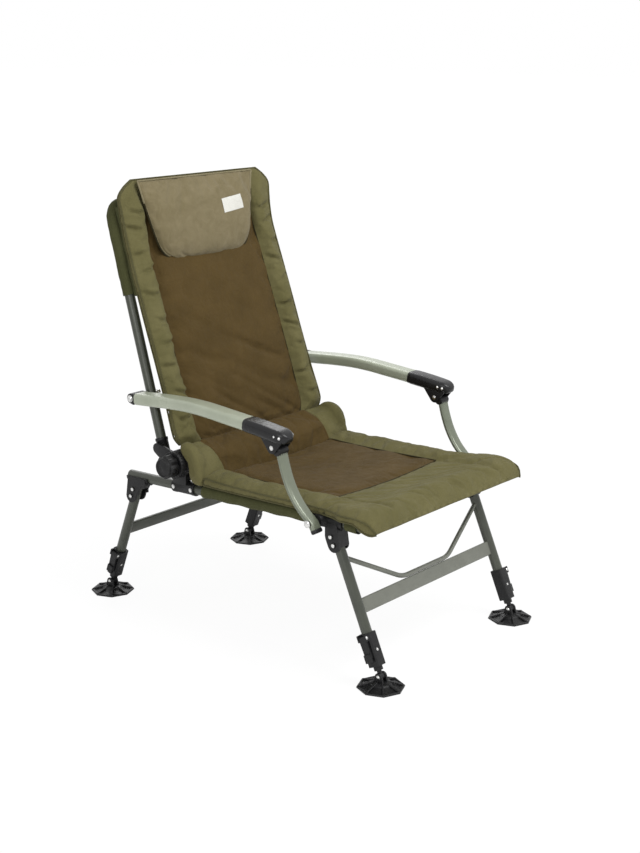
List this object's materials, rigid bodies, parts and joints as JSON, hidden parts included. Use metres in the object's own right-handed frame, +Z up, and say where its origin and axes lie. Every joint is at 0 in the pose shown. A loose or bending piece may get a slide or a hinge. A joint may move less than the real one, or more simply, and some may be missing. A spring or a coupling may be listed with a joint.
{
  "type": "carp fishing chair",
  "caption": "Folding fishing chair with padded seat and reclining back, parallelogram arm rests, folding telescopic legs and swivel mud feet.",
  "frame": {"origin": "centre of the footprint on the floor, under the middle of the chair (bottom centre of the bounding box)", "axes": "+Z up, -Y the way the sitter faces, +X the sitter's left"},
  "size_m": [0.594, 0.883, 0.9392],
  "materials": {
    "frame_paint": "satin grey-green powder coat on steel tube",
    "arm_paint": "satin light sage powder coat on flat-oval tube",
    "black_plastic": "moulded black nylon, lightly grained",
    "bright_steel": "bright zinc-plated steel",
    "olive_fabric": "padded olive-green woven polyester",
    "brown_fabric": "padded brown woven polyester",
    "dark_olive_fabric": "coated dark olive polyester",
    "suede_fabric": "khaki brushed suede-like polyester",
    "label_fabric": "bare white woven patch"
  },
  "bodies": {
    "seat_frame": {"rail_l": "frame_paint", "rail_r": "frame_paint", "cross_tube_front": "frame_paint", "cross_tube_rear": "frame_paint", "front_leg_bracket_l": "black_plastic", "front_leg_bracket_r": "black_plastic", "rear_leg_bracket_l": "black_plastic", "rear_leg_bracket_r": "black_plastic", "hinge_base_l": "black_plastic", "hinge_base_r": "black_plastic", "seat_sling": "dark_olive_fabric", "seat_pad": "olive_fabric"},
    "backrest": {"back_tube": "frame_paint", "back_sleeve": "dark_olive_fabric", "hinge_arm_l": "black_plastic", "hinge_arm_r": "black_plastic", "arm_bolt_l": "bright_steel", "arm_bolt_r": "bright_steel", "back_pad": "olive_fabric", "lumbar_roll": "brown_fabric", "head_pillow": "suede_fabric", "pillow_label": "label_fabric"},
    "arm_l": {"arm_tube_l": "arm_paint", "arm_grip_l": "black_plastic", "arm_rear_fitting_l": "black_plastic"},
    "support_l": {"support_tube_l": "arm_paint", "support_head_l": "black_plastic", "support_foot_l": "black_plastic"},
    "knob_l": {"recline_knob_l": "black_plastic"},
    "arm_r": {"arm_tube_r": "arm_paint", "arm_grip_r": "black_plastic", "arm_rear_fitting_r": "black_plastic"},
    "support_r": {"support_tube_r": "arm_paint", "support_head_r": "black_plastic", "support_foot_r": "black_plastic"},
    "knob_r": {"recline_knob_r": "black_plastic"},
    "front_legs": {"front_leg_tube_l": "frame_paint", "front_leg_tube_r": "frame_paint", "front_crossbar": "frame_paint", "front_stay": "frame_paint", "front_leg_lock_l": "black_plastic", "front_leg_lock_r": "black_plastic"},
    "front_stem_l": {"front_leg_stem_l": "black_plastic"},
    "front_pad_l": {"front_foot_pad_l": "black_plastic"},
    "front_lever_l": {"front_lock_lever_l": "black_plastic"},
    "front_stem_r": {"front_leg_stem_r": "black_plastic"},
    "front_pad_r": {"front_foot_pad_r": "black_plastic"},
    "front_lever_r": {"front_lock_lever_r": "black_plastic"},
    "rear_legs": {"rear_leg_tube_l": "frame_paint", "rear_leg_tube_r": "frame_paint", "rear_crossbar": "frame_paint", "rear_leg_lock_l": "black_plastic", "rear_leg_lock_r": "black_plastic"},
    "rear_stem_l": {"rear_leg_stem_l": "black_plastic"},
    "rear_pad_l": {"rear_foot_pad_l": "black_plastic"},
    "rear_lever_l": {"rear_lock_lever_l": "black_plastic"},
    "rear_stem_r": {"rear_leg_stem_r": "black_plastic"},
    "rear_pad_r": {"rear_foot_pad_r": "black_plastic"},
    "rear_lever_r": {"rear_lock_lever_r": "black_plastic"}
  },
  "joints": [
    {"name": "recline", "type": "hinge", "parent": "seat_frame", "child": "backrest", "pos_m": [0, 0.1545, 0.355], "axis": [1, 0, 0], "range_deg": [-35, 98], "deforming": ["lumbar_roll"]},
    {"name": "arm_l_pivot", "type": "hinge", "parent": "backrest", "child": "arm_l", "pos_m": [0.272, 0.2475, 0.492], "axis": [1, 0, 0], "range_deg": [-98, 35]},
    {"name": "support_l_pivot", "type": "hinge", "parent": "seat_frame", "child": "support_l", "pos_m": [0.267, -0.248, 0.322], "axis": [1, 0, 0], "range_deg": [-35, 98]},
    {"name": "arm_r_pivot", "type": "hinge", "parent": "backrest", "child": "arm_r", "pos_m": [-0.272, 0.2475, 0.492], "axis": [1, 0, 0], "range_deg": [-98, 35]},
    {"name": "support_r_pivot", "type": "hinge", "parent": "seat_frame", "child": "support_r", "pos_m": [-0.267, -0.248, 0.322], "axis": [1, 0, 0], "range_deg": [-35, 98]},
    {"name": "knob_l_turn", "type": "hinge", "parent": "seat_frame", "child": "knob_l", "pos_m": [0.262, 0.1545, 0.355], "axis": [1, 0, 0], "continuous": true},
    {"name": "knob_r_turn", "type": "hinge", "parent": "seat_frame", "child": "knob_r", "pos_m": [-0.262, 0.1545, 0.355], "axis": [1, 0, 0], "continuous": true},
    {"name": "front_legs_fold", "type": "hinge", "parent": "seat_frame", "child": "front_legs", "pos_m": [0, -0.2735, 0.29074], "axis": [1, 0, 0], "range_deg": [0, 102]},
    {"name": "rear_legs_fold", "type": "hinge", "parent": "seat_frame", "child": "rear_legs", "pos_m": [0, 0.2975, 0.2679], "axis": [1, 0, 0], "range_deg": [-80, 0]},
    {"name": "front_stem_l_slide", "type": "slide", "parent": "front_legs", "child": "front_stem_l", "axis": [0, -0.4074, -0.9132], "range_m": [0, 0.1]},
    {"name": "front_pad_l_tilt", "type": "hinge", "parent": "front_stem_l", "child": "front_pad_l", "pos_m": [0.231, -0.3925, 0.024], "axis": [1, 0, 0], "range_deg": [-20, 20]},
    {"name": "front_lever_l_cam", "type": "hinge", "parent": "front_legs", "child": "front_lever_l", "pos_m": [0.2482, -0.35868, 0.0998], "axis": [0, -0.9132, 0.4074], "range_deg": [0, 100]},
    {"name": "front_stem_r_slide", "type": "slide", "parent": "front_legs", "child": "front_stem_r", "axis": [0, -0.4074, -0.9132], "range_m": [0, 0.1]},
    {"name": "front_pad_r_tilt", "type": "hinge", "parent": "front_stem_r", "child": "front_pad_r", "pos_m": [-0.231, -0.3925, 0.024], "axis": [1, 0, 0], "range_deg": [-20, 20]},
    {"name": "front_lever_r_cam", "type": "hinge", "parent": "front_legs", "child": "front_lever_r", "pos_m": [-0.2482, -0.35868, 0.0998], "axis": [0, 0.9132, -0.4074], "range_deg": [0, 100]},
    {"name": "rear_stem_l_slide", "type": "slide", "parent": "rear_legs", "child": "rear_stem_l", "axis": [0, 0.3629, -0.9318], "range_m": [0, 0.1]},
    {"name": "rear_pad_l_tilt", "type": "hinge", "parent": "rear_stem_l", "child": "rear_pad_l", "pos_m": [0.231, 0.3925, 0.024], "axis": [1, 0, 0], "range_deg": [-20, 20]},
    {"name": "rear_lever_l_cam", "type": "hinge", "parent": "rear_legs", "child": "rear_lever_l", "pos_m": [0.2482, 0.36238, 0.10134], "axis": [0, -0.9318, -0.3629], "range_deg": [0, 100]},
    {"name": "rear_stem_r_slide", "type": "slide", "parent": "rear_legs", "child": "rear_stem_r", "axis": [0, 0.3629, -0.9318], "range_m": [0, 0.1]},
    {"name": "rear_pad_r_tilt", "type": "hinge", "parent": "rear_stem_r", "child": "rear_pad_r", "pos_m": [-0.231, 0.3925, 0.024], "axis": [1, 0, 0], "range_deg": [-20, 20]},
    {"name": "rear_lever_r_cam", "type": "hinge", "parent": "rear_legs", "child": "rear_lever_r", "pos_m": [-0.2482, 0.36238, 0.10134], "axis": [0, 0.9318, 0.3629], "range_deg": [0, 100]}
  ],
  "couplings": [
    {"joint": "arm_l_pivot", "follows": "recline", "ratio": -1},
    {"joint": "arm_r_pivot", "follows": "recline", "ratio": -1},
    {"joint": "support_l_pivot", "follows": "recline", "ratio": 1},
    {"joint": "support_r_pivot", "follows": "recline", "ratio": 1}
  ]
}
